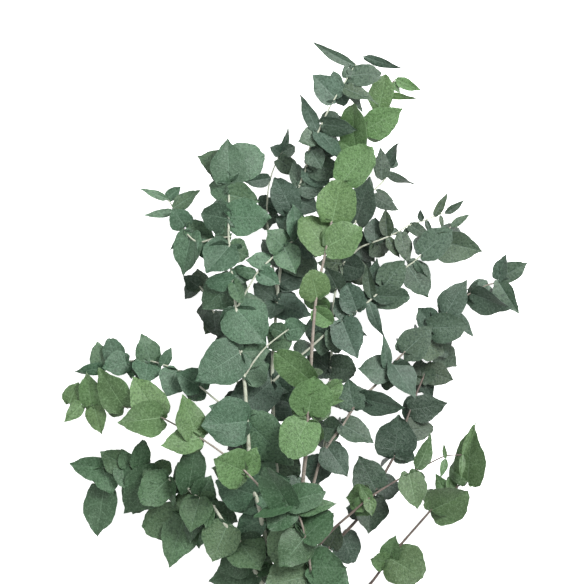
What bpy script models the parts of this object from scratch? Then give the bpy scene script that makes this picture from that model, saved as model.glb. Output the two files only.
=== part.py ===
"""A leafy eucalyptus branch, cut and laid down on a flat surface.

The branch is one woody fork that carries twelve leafy sprays. The wood is one object, and each
spray, which is a stem with its side twigs and all its leaves, is another. Every place is read
looking straight down on the branch, in millimetres: how far across from the left, how far down
from the top, and how high above the surface.
"""

import math
from collections import namedtuple
from random import Random

import bmesh
import bpy
from mathutils import Quaternion, Vector
from mathutils.bvhtree import BVHTree

MM = 0.001
SEED = 4

BLADE_THICKNESS = 0.8
BLADE_CLEARANCE = 0.5
CENTRE_ACROSS = 295.7
CENTRE_DOWN = 350.5
CUP = 0.10
BEND = 0.06
BROAD_LENGTH = 26
BROAD_RATIO = 0.72
NARROW_RATIO = 0.55
MOST_ROLL = 58
USUAL_TILT = 10
SEAT_LIFT = 0.7
ROUND_RATIO = 0.95
MOST_TILT = 60
STEM_STEP = 32
STEM_SIDES = 5
TWIG_SIDES = 4
TWIG_BELOW = 3.1
WOOD_SIDES = 8
JOINT_GAP = 0.3
FORK_SWELL = 1.25
FORK_LIP = 1.12

CORE = 0.88
CORE_CENTRE = 0.62
SMALL_LEAF = 16
STEEPEST = 84

# Half of a blade's outline from its notch to its tip: along the midrib as a share of the length,
# and across it as a share of half the width.
BROAD_HALF = ((0.0, 0.0), (0.06, 0.78), (0.36, 1.06), (0.72, 0.80), (1.02, 0.0))
HEART_HALF = ((0.0, 0.0), (0.14, 0.88), (0.60, 1.06), (1.03, 0.0))
LANCE_HALF = ((0.0, 0.0), (0.20, 0.96), (0.60, 0.94), (1.0, 0.0))
BROAD_FROM = 30

# A stem's route is (across, down, height), its thick is its diameter at the root and the tip, and
# its leaves are (seat across, seat down, tip across, tip down, width) above and below the stem.
# A leaf that rests has its tip on the surface.
Stem = namedtuple("Stem", "route thick over under rests", defaults=((),))
Leaf = namedtuple("Leaf", "seat heading tilt roll length width narrow")

SPRAYS = {
    "tall_left_spray": [
        Stem(
            route=[(278, 565, 52), (266, 540, 60), (259, 508, 72), (254, 490, 80), (250, 460, 87),
                   (247, 420, 90), (245, 385, 91), (240, 345, 92), (236, 306, 92), (232, 275, 91),
                   (229, 240, 90), (229, 200, 86), (228, 181, 82), (228, 166, 80)],
            thick=(5.0, 1.9),
            over=[(228, 181, 228, 139, 36), (229, 195, 259, 202, 32), (229, 217, 272, 218, 38),
                  (228, 246, 206, 273, 38), (232, 280, 206, 283, 18), (234, 281, 242, 304, 15),
                  (237, 308, 266, 343, 49), (239, 352, 196, 381, 45), (246, 421, 201, 425, 50),
                  (255, 495, 216, 484, 46)],
            under=[(254, 490, 250, 443, 52), (229, 163, 196, 156, 27), (229, 163, 265, 153, 38),
                   (229, 191, 209, 186, 25), (229, 219, 203, 208, 36), (229, 248, 250, 257, 26),
                   (233, 281, 202, 311, 38), (237, 307, 268, 305, 27), (241, 352, 270, 350, 32),
                   (243, 373, 270, 364, 36), (233, 276, 257, 273, 19), (236, 302, 247, 281, 17),
                   (263, 520, 235, 533, 29), (258, 502, 238, 515, 20), (229, 241, 210, 228, 20),
                   (246, 421, 292, 466, 44), (246, 417, 209, 406, 31), (257, 497, 290, 478, 40),
                   (265, 538, 284, 564, 36)],
        ),
        Stem(
            route=[(246, 421, 90), (232, 411, 84), (216, 400, 76), (200, 387, 68), (178, 371, 58),
                   (148, 361, 46), (127, 362, 38), (98, 370, 28)],
            thick=(2.3, 1.3),
            over=[(202, 382, 176, 372, 29), (178, 369, 166, 396, 31), (162, 367, 171, 348, 12),
                  (150, 363, 142, 334, 26), (147, 362, 145, 384, 30), (127, 361, 101, 368, 25),
                  (105, 368, 73, 376, 14)],
            under=[(200, 388, 189, 402, 23), (201, 387, 211, 381, 12), (141, 362, 130, 353, 13),
                   (115, 364, 107, 338, 22), (101, 369, 95, 341, 17), (131, 362, 130, 380, 14)],
        ),
        Stem(
            route=[(229, 237, 90), (213, 239, 82), (199, 242, 74), (189, 236, 68), (181, 223, 60),
                   (173, 208, 52), (167, 198, 46)],
            thick=(1.9, 1.2),
            over=[(167, 199, 138, 188, 9), (167, 198, 180, 186, 12), (172, 208, 200, 190, 17),
                  (174, 211, 143, 215, 9), (183, 228, 172, 208, 24), (186, 230, 214, 237, 21)],
            under=[(188, 237, 182, 275, 25), (186, 236, 167, 252, 8), (202, 241, 209, 262, 15)],
        ),
        Stem(
            route=[(237, 308, 92), (246, 292, 96), (258, 272, 98), (270, 260, 98), (284, 247, 96),
                   (298, 238, 94), (303, 233, 93)],
            thick=(1.9, 1.4),
            over=[(258, 272, 280, 284, 19), (270, 263, 246, 260, 18), (284, 248, 268, 231, 27),
                  (284, 247, 296, 274, 28), (298, 238, 293, 204, 21)],
            under=[(257, 274, 233, 270, 13)],
        ),
        Stem(
            route=[(246, 374, 91), (255, 360, 96), (268, 345, 97), (286, 331, 95), (293, 326, 93)],
            thick=(1.9, 1.4),
            over=[(287, 331, 308, 326, 24)],
            under=[(284, 332, 268, 327, 18), (286, 331, 266, 349, 30)],
        ),
    ],
    "lime_centre_spray": [
        Stem(
            route=[(296, 560, 66), (301, 520, 80), (303, 480, 92), (306, 450, 101), (308, 415, 107),
                   (310, 380, 110), (312, 345, 112), (316, 298, 114), (321, 272, 114),
                   (326, 249, 113), (332, 220, 110), (343, 182, 102), (355, 150, 86),
                   (367, 128, 74), (379, 107, 64), (388, 88, 56), (396, 78, 52)],
            thick=(4.7, 1.3),
            over=[(396, 78, 421, 90, 12), (386, 94, 419, 100, 8), (380, 107, 386, 74, 24),
                  (364, 127, 403, 108, 30), (355, 150, 350, 104, 27), (343, 181, 372, 147, 36),
                  (332, 221, 342, 180, 39), (326, 247, 362, 229, 36), (316, 297, 311, 270, 32),
                  (309, 379, 275, 351, 29), (309, 412, 314, 376, 42), (305, 420, 288, 457, 40)],
            under=[(393, 80, 402, 92, 12), (354, 150, 337, 140, 15), (326, 250, 302, 216, 38),
                   (316, 295, 314, 311, 28), (314, 310, 333, 324, 20), (309, 405, 345, 401, 12),
                   (310, 402, 342, 380, 22), (308, 408, 294, 416, 20), (305, 422, 319, 446, 20)],
        ),
    ],
    "front_spray": [
        Stem(
            route=[(301, 606, 54), (306, 595, 72), (310, 584, 88), (311, 576, 96), (309, 557, 106),
                   (305, 537, 112), (301, 520, 116), (294, 507, 118), (287, 501, 118)],
            thick=(2.8, 2.0),
            over=[(311, 576, 266, 584, 47), (311, 576, 348, 584, 47), (304, 536, 281, 566, 37),
                  (304, 536, 331, 510, 37), (288, 501, 324, 490, 28), (285, 508, 263, 466, 27),
                  (284, 508, 254, 517, 21), (295, 510, 268, 527, 25)],
            under=[(305, 537, 269, 555, 46), (311, 566, 346, 566, 42), (294, 508, 336, 502, 20)],
        ),
    ],
    "lime_left_spray": [
        Stem(
            route=[(286, 562, 70), (284, 530, 88), (273, 503, 102), (247, 472, 112), (222, 452, 108),
                   (201, 438, 98), (176, 425, 86), (160, 417, 78), (140, 410, 68), (122, 407, 60),
                   (97, 407, 50), (80, 407, 44), (68, 404, 40)],
            thick=(2.7, 1.2),
            over=[(246, 469, 216, 458, 41), (247, 471, 257, 446, 22), (201, 435, 161, 445, 27),
                  (196, 436, 186, 394, 31), (161, 417, 118, 422, 38), (123, 407, 97, 369, 31),
                  (93, 407, 101, 435, 21), (91, 407, 85, 372, 24), (68, 405, 77, 383, 19),
                  (80, 407, 63, 423, 15)],
            under=[(200, 437, 205, 412, 13), (159, 416, 132, 376, 32), (160, 416, 165, 402, 9),
                   (99, 407, 109, 399, 12)],
        ),
    ],
    "low_left_spray": [
        Stem(
            route=[(272, 592, 46), (262, 585, 52), (254, 570, 60), (240, 542, 70), (226, 526, 74),
                   (213, 507, 74), (198, 498, 72), (184, 486, 68), (167, 479, 62), (157, 473, 58),
                   (140, 470, 54), (125, 466, 50), (103, 469, 44), (93, 470, 41)],
            thick=(4.4, 1.6),
            over=[(103, 471, 68, 465, 22), (101, 470, 112, 496, 27), (124, 466, 99, 452, 26),
                  (122, 468, 124, 489, 18), (138, 468, 143, 440, 19), (128, 466, 121, 449, 17),
                  (155, 474, 143, 482, 20), (168, 480, 140, 503, 35), (190, 488, 197, 446, 28),
                  (183, 489, 179, 462, 12), (199, 499, 190, 533, 33), (213, 507, 206, 529, 12),
                  (226, 527, 212, 562, 39), (240, 542, 261, 570, 41)],
            under=[(183, 487, 176, 461, 15), (126, 467, 137, 481, 12), (157, 474, 169, 462, 19),
                   (157, 477, 122, 516, 44), (198, 498, 171, 503, 23), (198, 497, 212, 476, 27),
                   (213, 507, 243, 526, 27), (246, 556, 218, 575, 36), (256, 574, 270, 584, 26),
                   (255, 571, 275, 567, 18), (254, 573, 208, 583, 38), (141, 471, 131, 519, 34),
                   (168, 480, 176, 506, 17), (200, 499, 219, 500, 18)],
        ),
        Stem(
            route=[(125, 466, 50), (112, 480, 42), (102, 490, 34)],
            thick=(1.8, 1.6),
            over=[(102, 489, 95, 538, 34)],
            under=[],
        ),
        Stem(
            route=[(213, 507, 74), (198, 516, 60), (184, 519, 50)],
            thick=(2.2, 1.8),
            over=[(181, 519, 167, 567, 38)],
            under=[(183, 519, 140, 529, 38), (198, 517, 197, 551, 24)],
        ),
    ],
    "centre_tall_spray": [
        Stem(
            route=[(283, 547, 55), (279, 500, 58), (275, 450, 60), (273, 412, 61), (272, 378, 62),
                   (274, 340, 62), (277, 300, 62), (281, 265, 62), (288, 230, 62), (294, 203, 64),
                   (299, 186, 68), (306, 168, 76), (309, 150, 84), (318, 132, 92), (327, 113, 97),
                   (338, 93, 98), (348, 77, 94), (355, 66, 90), (363, 57, 85)],
            thick=(4.8, 1.2),
            over=[(363, 57, 402, 71, 11), (355, 66, 311, 44, 11), (347, 79, 345, 66, 13),
                  (350, 77, 381, 74, 19), (340, 90, 333, 72, 12), (334, 98, 312, 75, 28),
                  (342, 87, 379, 103, 17), (322, 124, 356, 131, 20), (317, 132, 299, 95, 15),
                  (319, 136, 298, 142, 20), (309, 150, 322, 169, 21), (289, 210, 275, 177, 28),
                  (279, 303, 312, 315, 29), (279, 304, 267, 322, 22), (272, 381, 231, 416, 41)],
            under=[(306, 187, 294, 161, 17), (340, 90, 343, 108, 20), (346, 82, 362, 113, 13),
                   (317, 134, 328, 151, 17), (319, 131, 345, 158, 24), (306, 168, 330, 184, 24),
                   (293, 205, 305, 196, 18), (289, 226, 276, 216, 16), (282, 262, 261, 240, 20),
                   (278, 302, 254, 283, 25), (279, 283, 305, 270, 28), (273, 378, 291, 410, 29),
                   (272, 383, 302, 384, 21), (273, 411, 297, 413, 21), (275, 450, 297, 482, 36),
                   (275, 452, 250, 470, 34), (279, 500, 301, 477, 25), (296, 200, 321, 209, 27),
                   (288, 232, 317, 256, 27), (272, 372, 290, 356, 22), (279, 505, 254, 525, 27),
                   (281, 525, 261, 535, 18), (273, 365, 262, 350, 18), (307, 165, 340, 171, 23),
                   (309, 151, 336, 157, 22), (300, 186, 328, 190, 23), (284, 256, 320, 271, 25)],
        ),
        Stem(
            route=[(278, 296, 62), (270, 250, 46), (267, 215, 40), (268, 190, 38), (272, 172, 36),
                   (277, 160, 36), (282, 150, 36)],
            thick=(2.4, 1.2),
            over=[(282, 150, 291, 125, 8), (281, 153, 271, 146, 14), (277, 158, 298, 172, 18),
                  (273, 178, 243, 181, 15)],
            under=[(281, 152, 297, 143, 18), (268, 197, 260, 213, 17), (267, 214, 264, 231, 13),
                   (267, 216, 281, 222, 14), (267, 205, 282, 211, 13)],
        ),
        Stem(
            route=[(273, 382, 62), (290, 365, 64), (310, 348, 66), (328, 332, 68), (342, 322, 70),
                   (362, 307, 70), (376, 295, 68), (388, 282, 66), (405, 268, 62), (415, 261, 60),
                   (428, 249, 56), (440, 238, 53), (452, 226, 50)],
            thick=(2.6, 1.2),
            over=[(452, 227, 470, 213, 9), (425, 257, 453, 229, 28), (415, 261, 427, 279, 8),
                  (390, 291, 405, 260, 28), (372, 299, 366, 263, 13), (369, 301, 381, 338, 13),
                  (357, 311, 347, 283, 26), (342, 321, 358, 359, 33)],
            under=[(440, 243, 484, 251, 28), (408, 266, 430, 297, 32), (379, 301, 411, 299, 22),
                   (350, 318, 335, 297, 21), (366, 304, 378, 283, 19), (374, 296, 375, 257, 20),
                   (343, 322, 368, 338, 12), (327, 333, 303, 328, 30), (325, 335, 321, 356, 25),
                   (331, 330, 338, 353, 20), (303, 356, 306, 333, 20)],
        ),
    ],
    "right_spray": [
        Stem(
            route=[(300, 556, 54), (310, 500, 60), (320, 462, 64), (328, 446, 66), (343, 425, 67),
                   (353, 409, 67), (365, 395, 66), (376, 385, 65), (388, 370, 64), (400, 357, 63),
                   (416, 342, 60), (430, 328, 56), (445, 315, 52), (458, 303, 48), (470, 294, 44),
                   (486, 286, 40), (498, 282, 37), (505, 276, 35)],
            thick=(3.6, 1.4),
            over=[(505, 277, 529, 263, 20), (501, 280, 508, 254, 15), (499, 281, 518, 314, 21),
                  (471, 291, 512, 309, 26), (488, 285, 467, 297, 18), (449, 316, 467, 280, 28),
                  (430, 328, 468, 326, 30), (405, 354, 432, 326, 32), (388, 369, 358, 367, 30),
                  (393, 364, 416, 399, 26), (387, 370, 384, 333, 12), (364, 400, 403, 412, 25),
                  (358, 412, 348, 379, 27), (343, 425, 374, 441, 25), (327, 448, 348, 477, 29)],
            under=[(452, 309, 475, 338, 12), (433, 325, 418, 308, 25), (418, 341, 447, 353, 36),
                   (389, 370, 384, 391, 19), (366, 395, 367, 384, 12), (341, 431, 319, 427, 26),
                   (322, 458, 311, 488, 28)],
        ),
    ],
    "right_back_spray": [
        Stem(
            route=[(308, 577, 42), (325, 553, 46), (345, 534, 47), (362, 515, 47), (376, 492, 46),
                   (386, 473, 45), (397, 452, 43), (406, 425, 38), (416, 398, 31), (427, 372, 23),
                   (437, 350, 17), (443, 338, 15)],
            thick=(3.6, 1.6),
            over=[(396, 457, 400, 415, 42), (412, 411, 449, 404, 28), (426, 371, 455, 381, 24),
                  (376, 491, 359, 457, 35), (371, 499, 369, 535, 34), (330, 549, 341, 523, 21)],
            under=[(398, 450, 416, 462, 22), (405, 433, 436, 427, 24), (416, 398, 407, 425, 18),
                   (424, 379, 434, 400, 16), (424, 380, 404, 396, 20), (437, 350, 455, 341, 22),
                   (377, 489, 403, 487, 27), (363, 514, 346, 509, 20), (345, 539, 355, 565, 31),
                   (423, 384, 421, 358, 27)],
            rests=[(438, 350, 462, 369, 25)],
        ),
    ],
    "brown_right_spray": [
        Stem(
            route=[(309, 562, 72), (318, 547, 80), (332, 530, 86), (350, 514, 90), (370, 497, 92),
                   (390, 484, 90), (408, 474, 86), (430, 463, 80), (446, 456, 76), (463, 455, 72)],
            thick=(3.0, 1.2),
            over=[(369, 498, 372, 516, 13), (368, 498, 360, 484, 13), (408, 473, 417, 509, 28),
                  (418, 474, 434, 434, 17), (445, 456, 441, 478, 8), (445, 456, 444, 443, 5),
                  (463, 455, 476, 421, 7), (463, 455, 461, 481, 7)],
            under=[(368, 498, 346, 497, 28), (367, 499, 355, 516, 22)],
        ),
    ],
    "low_right_spray": [
        Stem(
            route=[(318, 628, 18), (338, 615, 25), (356, 601, 32), (373, 583, 38), (388, 562, 43),
                   (402, 545, 47), (428, 515, 53), (436, 505, 55), (450, 494, 57), (461, 485, 59),
                   (468, 482, 60)],
            thick=(3.4, 1.8),
            over=[(390, 561, 396, 534, 21), (387, 562, 370, 560, 21), (390, 560, 424, 579, 43),
                  (431, 510, 470, 494, 43), (473, 487, 469, 426, 31)],
            under=[(447, 496, 436, 474, 15), (452, 493, 451, 476, 13)],
        ),
    ],
    "back_left_spray": [
        Stem(
            route=[(275, 556, 40), (262, 500, 38), (250, 445, 36), (240, 395, 32), (228, 350, 26),
                   (214, 315, 20), (203, 292, 16), (193, 280, 14)],
            thick=(3.4, 1.5),
            over=[(198, 286, 182, 275, 17), (214, 312, 217, 340, 24), (228, 350, 222, 327, 26)],
            under=[(200, 290, 196, 268, 21), (213, 313, 198, 312, 24), (216, 318, 204, 335, 18),
                   (242, 402, 222, 410, 26), (240, 393, 262, 400, 32), (250, 445, 230, 450, 36),
                   (251, 448, 270, 440, 36)],
            rests=[(196, 283, 181, 302, 15)],
        ),
    ],
    "back_right_spray": [
        Stem(
            route=[(299, 566, 38), (315, 500, 34), (326, 440, 31), (330, 390, 30), (332, 350, 30),
                   (333, 315, 32), (337, 285, 34), (345, 262, 35), (353, 235, 34), (360, 208, 31),
                   (371, 193, 28), (385, 179, 24), (391, 166, 21), (394, 154, 19)],
            thick=(4.0, 1.3),
            over=[(394, 170, 400, 139, 15), (386, 181, 383, 146, 17), (374, 196, 400, 211, 16),
                  (359, 221, 370, 176, 30), (343, 264, 364, 270, 27), (336, 288, 326, 267, 25),
                  (331, 368, 356, 371, 29)],
            under=[(376, 188, 395, 201, 7), (392, 165, 400, 151, 16), (354, 236, 377, 262, 24),
                   (345, 263, 372, 281, 23), (355, 238, 373, 283, 20), (344, 263, 316, 261, 22),
                   (338, 285, 352, 292, 22), (333, 317, 329, 299, 20), (330, 372, 306, 352, 30),
                   (329, 400, 346, 388, 30), (327, 430, 309, 440, 32)],
            rests=[(389, 173, 420, 189, 10)],
        ),
        Stem(
            route=[(345, 262, 36), (355, 252, 41), (363, 246, 44), (382, 239, 48), (398, 232, 48),
                   (409, 225, 46), (425, 220, 42), (440, 214, 38), (446, 213, 36)],
            thick=(1.8, 1.2),
            over=[(435, 217, 448, 192, 9), (446, 213, 466, 200, 8), (441, 214, 444, 229, 5),
                  (422, 221, 421, 209, 7), (427, 220, 433, 235, 6), (411, 225, 431, 238, 13),
                  (401, 231, 409, 264, 18), (388, 237, 386, 208, 15), (388, 237, 400, 258, 11)],
            under=[(408, 226, 403, 238, 6), (393, 234, 398, 223, 10), (377, 242, 386, 255, 24),
                   (375, 242, 376, 216, 22)],
        ),
    ],
}

# The wood: its main axis and the forks that run out to each spray, with their thicknesses.
WOOD_AXIS = [(296, 655, 5.63), (294, 634, 14), (292, 612, 28), (290, 595, 40), (286, 572, 50)]
WOOD_THICK = (12.0, 7.5)
FORK_ROOTS = {
    "centre_tall_spray": (287, 578, 48),
    "tall_left_spray": (288, 586, 45),
    "back_left_spray": (289, 590, 42),
    "low_left_spray": (291, 604, 33),
    "lime_centre_spray": (288, 584, 46),
    "lime_left_spray": (288, 582, 47),
    "right_spray": (289, 588, 43),
    "right_back_spray": (291, 606, 32),
    "brown_right_spray": (290, 598, 38),
    "back_right_spray": (290, 600, 36),
    "front_spray": (292, 620, 22),
    "low_right_spray": (294, 641, 11),
}


def smooth_route(points, step):
    """A route through all the points, cut into even pieces of about one step."""
    points = [Vector(point) for point in points]
    first = points[0] * 2 - points[1]
    last = points[-1] * 2 - points[-2]
    held = [first] + points + [last]
    dense = [points[0].copy()]
    for index in range(len(points) - 1):
        a, b, c, d = held[index:index + 4]
        for part in range(1, 13):
            t = part / 12
            dense.append(0.5 * (2 * b + (c - a) * t + (2 * a - 5 * b + 4 * c - d) * t ** 2
                                + (3 * b - a - 3 * c + d) * t ** 3))
    lengths = [0.0]
    for before, after in zip(dense, dense[1:]):
        lengths.append(lengths[-1] + (after - before).length)
    pieces = max(2, round(lengths[-1] / step))
    route = []
    index = 0
    for piece in range(pieces + 1):
        goal = lengths[-1] * piece / pieces
        while index < len(dense) - 2 and lengths[index + 1] < goal:
            index += 1
        share = (goal - lengths[index]) / max(lengths[index + 1] - lengths[index], 1e-9)
        route.append(dense[index].lerp(dense[index + 1], min(max(share, 0.0), 1.0)))
    return route


def directions(route):
    """The way the route runs at each of its points."""
    last = len(route) - 1
    return [(route[min(i + 1, last)] - route[max(i - 1, 0)]).normalized()
            for i in range(last + 1)]


def tube(route, thick, sides):
    """A tapering stem with flat ends, as points and faces."""
    ways = directions(route)
    side = ways[0].orthogonal().normalized()
    verts = []
    faces = []
    count = len(route)
    for index, (point, way) in enumerate(zip(route, ways)):
        side = (side - way * side.dot(way)).normalized()
        other = way.cross(side)
        share = index / (count - 1)
        radius = (thick[0] + (thick[1] - thick[0]) * share) / 2
        for k in range(sides):
            angle = math.tau * k / sides
            verts.append(point + side * (radius * math.cos(angle))
                         + other * (radius * math.sin(angle)))
    for ring in range(count - 1):
        for k in range(sides):
            a = ring * sides + k
            b = ring * sides + (k + 1) % sides
            faces.append((a, b, b + sides, a + sides))
    faces.append(tuple(reversed(range(sides))))
    faces.append(tuple(range((count - 1) * sides, count * sides)))
    return verts, faces


def to_space(point):
    """A place read off the layout, with its height, in millimetres with up as +Z."""
    return (point[0] - CENTRE_ACROSS, CENTRE_DOWN - point[1], point[2])


def blade(leaf, thickness, swell=0.0, keep=None):
    """A leaf as a closed thin solid: notch, lobes, sides and tip, folded along its midrib."""
    heading = Vector((math.cos(leaf.heading), math.sin(leaf.heading), 0))
    ahead = heading * math.cos(leaf.tilt) + Vector((0, 0, math.sin(leaf.tilt)))
    across = Vector((-heading.y, heading.x, 0))
    across.rotate(Quaternion(ahead, leaf.roll))
    normal = ahead.cross(across)
    half = LANCE_HALF if leaf.narrow else BROAD_HALF if leaf.width > BROAD_FROM else HEART_HALF
    loop = list(half) + [(a, -b) for a, b in reversed(half[1:-1])]
    if keep:
        loop = [(CORE_CENTRE + (a - CORE_CENTRE) * keep, b * keep) for a, b in loop]
    verts = []
    for level in (0.5, -0.5):
        for a, b in loop:
            far = a * leaf.length + (swell if a > 0.5 else -swell if a < 0 else 0)
            wide = b * leaf.width / 2 + math.copysign(swell if b else 0, b)
            lift = CUP * abs(wide) - BEND * leaf.length * a * a + level * thickness
            verts.append(leaf.seat + ahead * far + across * wide + normal * lift)
    count = len(loop)
    tip = count // 2
    faces = []
    for k in range(count):
        after = (k + 1) % count
        if tip not in (k, after):
            faces.append((tip, after, k))
            faces.append((count + tip, count + k, count + after))
        faces.append((k, after, count + after, count + k))
    return verts, faces


def near(stem_route, place):
    """The point of a stem that lies under a place of the layout, and its share of the way."""
    best = None
    for index, (before, after) in enumerate(zip(stem_route, stem_route[1:])):
        run = after - before
        flat = run.xy.length_squared
        share = (place - before.xy).dot(run.xy) / flat if flat else 0.0
        share = min(max(share, 0.0), 1.0)
        point = before.lerp(after, share)
        gap = (place - point.xy).length
        if best is None or gap < best[0]:
            best = (gap, point, (index + share) / (len(stem_route) - 1))
    return best[1], best[2]


def fork_point(grown, name, root):
    """The root of a side twig, moved onto the nearest stem of its own spray."""
    points = [near(route, root.xy)[0] for key, _, route in grown if key == name]
    return min(points, key=lambda point: (point - root).length)


def leaf_from(stem, route, entry, side):
    """A leaf of the layout, with the tilt and roll that its seen length and width call for."""
    pick = Random("%d of %s" % (SEED, entry))
    seat, share = near(route, Vector(to_space((entry[0], entry[1], 0))[:2]))
    radius = (stem.thick[0] + (stem.thick[1] - stem.thick[0]) * share) / 2
    seat = seat + Vector((0, 0, side * SEAT_LIFT * radius))
    run = Vector(to_space((entry[2], entry[3], 0))[:2]) - seat.xy
    seen = run.length
    wide = entry[4]
    length = max(seen, ROUND_RATIO * wide)
    tilt = math.acos(min(1.0, seen / length))
    tilt = min(max(tilt, math.radians(USUAL_TILT + pick.uniform(-3, 5))),
               math.radians(MOST_TILT))
    length = max(length, seen / math.cos(tilt))
    narrow = wide < NARROW_RATIO * seen or seen < SMALL_LEAF
    whole = wide if narrow else max(wide, (BROAD_RATIO if length > BROAD_LENGTH
                                           else NARROW_RATIO) * length)
    roll = math.acos(max(wide / whole, math.cos(math.radians(MOST_ROLL))))
    roll = max(roll, math.radians(pick.uniform(2, 12))) * pick.choice((-1, 1))
    return Leaf(seat, math.atan2(run.y, run.x), side * tilt, roll, length, whole, narrow)


class Solid:
    """A closed shape with its box and its search tree."""

    def __init__(self, verts, faces):
        self.verts = verts
        self.faces = faces
        self.low = Vector(min(v[k] for v in verts) for k in range(3))
        self.high = Vector(max(v[k] for v in verts) for k in range(3))
        self.tree = BVHTree.FromPolygons(verts, faces)

    def meets(self, other):
        for k in range(3):
            if self.low[k] > other.high[k] or other.low[k] > self.high[k]:
                return False
        return bool(self.tree.overlap(other.tree))


# Turns tried in order, smallest first: degrees of tilt, degrees of roll, degrees of heading and
# the share of its size that a leaf keeps.
TURNS = sorted(
    ((tilt, roll, swing, size)
     for size in (1.0, 0.86, 0.72)
     for tilt in (0, 7, -7, 14, -14, 22, -22, 32, -32, 44, -44)
     for roll in (0, 12, -12, 25, -25)
     for swing in (0, 7, -7)),
    key=lambda turn: (abs(turn[0]) * 1.0 + abs(turn[1]) * 0.5 + abs(turn[2]) * 1.6
                      + (1 - turn[3]) * 110))


def turned(leaf, turn):
    tilt, roll, swing, size = turn
    return leaf._replace(
        tilt=leaf.tilt + math.radians(tilt), roll=leaf.roll + math.radians(roll),
        heading=leaf.heading + math.radians(swing), length=leaf.length * size,
        width=leaf.width * size)


def settle(leaf, name, placed, stems, turns):
    """The first turn of a leaf that keeps it off the surface and clear of all the others."""
    spare = None
    for turn in turns:
        tried = turned(leaf, turn)
        if abs(tried.tilt) > math.radians(STEEPEST):
            continue
        wide = Solid(*blade(tried, BLADE_THICKNESS + 2 * BLADE_CLEARANCE, BLADE_CLEARANCE))
        if wide.low.z < BLADE_CLEARANCE:
            continue
        if any(wide.meets(other) for key, other, _ in placed if key != name):
            continue
        if any(wide.meets(other) for key, other in stems if key != name):
            continue
        core = Solid(*blade(tried, BLADE_THICKNESS + BLADE_CLEARANCE, 0.0, CORE))
        if not any(core.meets(other) for key, _, other in placed if key == name) \
                and not any(core.meets(other) for key, other in stems if key == name):
            return tried
        if spare is None:
            spare = tried
    return spare


def keep_leaf(leaf, name, placed, chosen):
    chosen.append((name, leaf))
    placed.append((name, Solid(*blade(leaf, BLADE_THICKNESS)),
                   Solid(*blade(leaf, BLADE_THICKNESS, 0.0, CORE))))


def resting(leaf):
    """The leaf with its tip brought down until its lowest corner is on the surface."""
    low, high = math.radians(-85), math.radians(20)
    for _ in range(40):
        middle = (low + high) / 2
        tried = leaf._replace(tilt=middle)
        if min(v.z for v in blade(tried, BLADE_THICKNESS)[0]) < 0:
            low = middle
        else:
            high = middle
    return leaf._replace(tilt=high)


def place_leaves(grown, stems):
    """All the leaves of the branch in the order in which they make room for each other."""
    placed = []
    chosen = []
    for name, stem, route in grown:
        for entry in stem.rests:
            leaf = leaf_from(stem, route, entry, -1)
            keep_leaf(resting(leaf._replace(roll=0.0)), name, placed, chosen)
    for side in (1, -1):
        for name, stem, route in grown:
            for entry in (stem.over if side > 0 else stem.under):
                leaf = leaf_from(stem, route, entry, side)
                leaf = settle(leaf, name, placed, stems, TURNS)
                if leaf:
                    keep_leaf(leaf, name, placed, chosen)
    return chosen


def make_object(name, verts, faces):
    mesh = bpy.data.meshes.new(name)
    mesh.from_pydata([Vector(v) * MM for v in verts], [], faces)
    mesh.update()
    body = bpy.data.objects.new(name, mesh)
    bpy.context.scene.collection.objects.link(body)
    return body


def fill_pockets(body):
    """Closed pockets between crossed leaves are filled: only the outer skin is kept."""
    skin = bmesh.new()
    skin.from_mesh(body.data)
    left = set(skin.faces)
    pieces = []
    while left:
        piece = {left.pop()}
        edge = list(piece)
        while edge:
            for side in edge.pop().edges:
                for face in side.link_faces:
                    if face in left:
                        left.discard(face)
                        piece.add(face)
                        edge.append(face)
        pieces.append(piece)
    pieces.sort(key=len)
    lost = [face for piece in pieces[:-1] for face in piece]
    if lost:
        bmesh.ops.delete(skin, geom=lost, context="FACES")
        skin.to_mesh(body.data)
    skin.free()


def join(name, solids):
    """One body from a stem and all that grows on it."""
    body = make_object(name, *solids[0])
    rest = bpy.data.collections.new(name + "_rest")
    for index, solid in enumerate(solids[1:]):
        piece = make_object(name + "_" + str(index), *solid)
        bpy.context.scene.collection.objects.unlink(piece)
        rest.objects.link(piece)
    union = body.modifiers.new("union", "BOOLEAN")
    union.operation = "UNION"
    union.operand_type = "COLLECTION"
    union.collection = rest
    union.solver = "EXACT"
    bpy.context.view_layer.objects.active = body
    body.select_set(True)
    bpy.ops.object.modifier_apply(modifier=union.name)
    body.select_set(False)
    for piece in list(rest.objects):
        bpy.data.objects.remove(piece)
    bpy.data.collections.remove(rest)
    fill_pockets(body)
    return body


def wood_solids(starts):
    """The woody axis and its forks, each of which stops just short of its spray."""
    axis = smooth_route([to_space(p) for p in WOOD_AXIS], STEM_STEP / 2)
    solids = [tube(axis, WOOD_THICK, WOOD_SIDES)]
    for name, root in FORK_ROOTS.items():
        end, way, thick = starts[name]
        end = end - way * JOINT_GAP
        root = Vector(to_space(root))
        reach = (end - root).length
        middle = end - way * (reach * 0.4)
        fork = smooth_route([root, root.lerp(middle, 0.55), middle, end], STEM_STEP / 2)
        fork[-1] = end
        fork[-2] = end - way * (end - fork[-2]).length
        solids.append(tube(fork, (thick * FORK_SWELL + 1.2, thick * FORK_LIP), STEM_SIDES + 1))
    return solids


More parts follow.
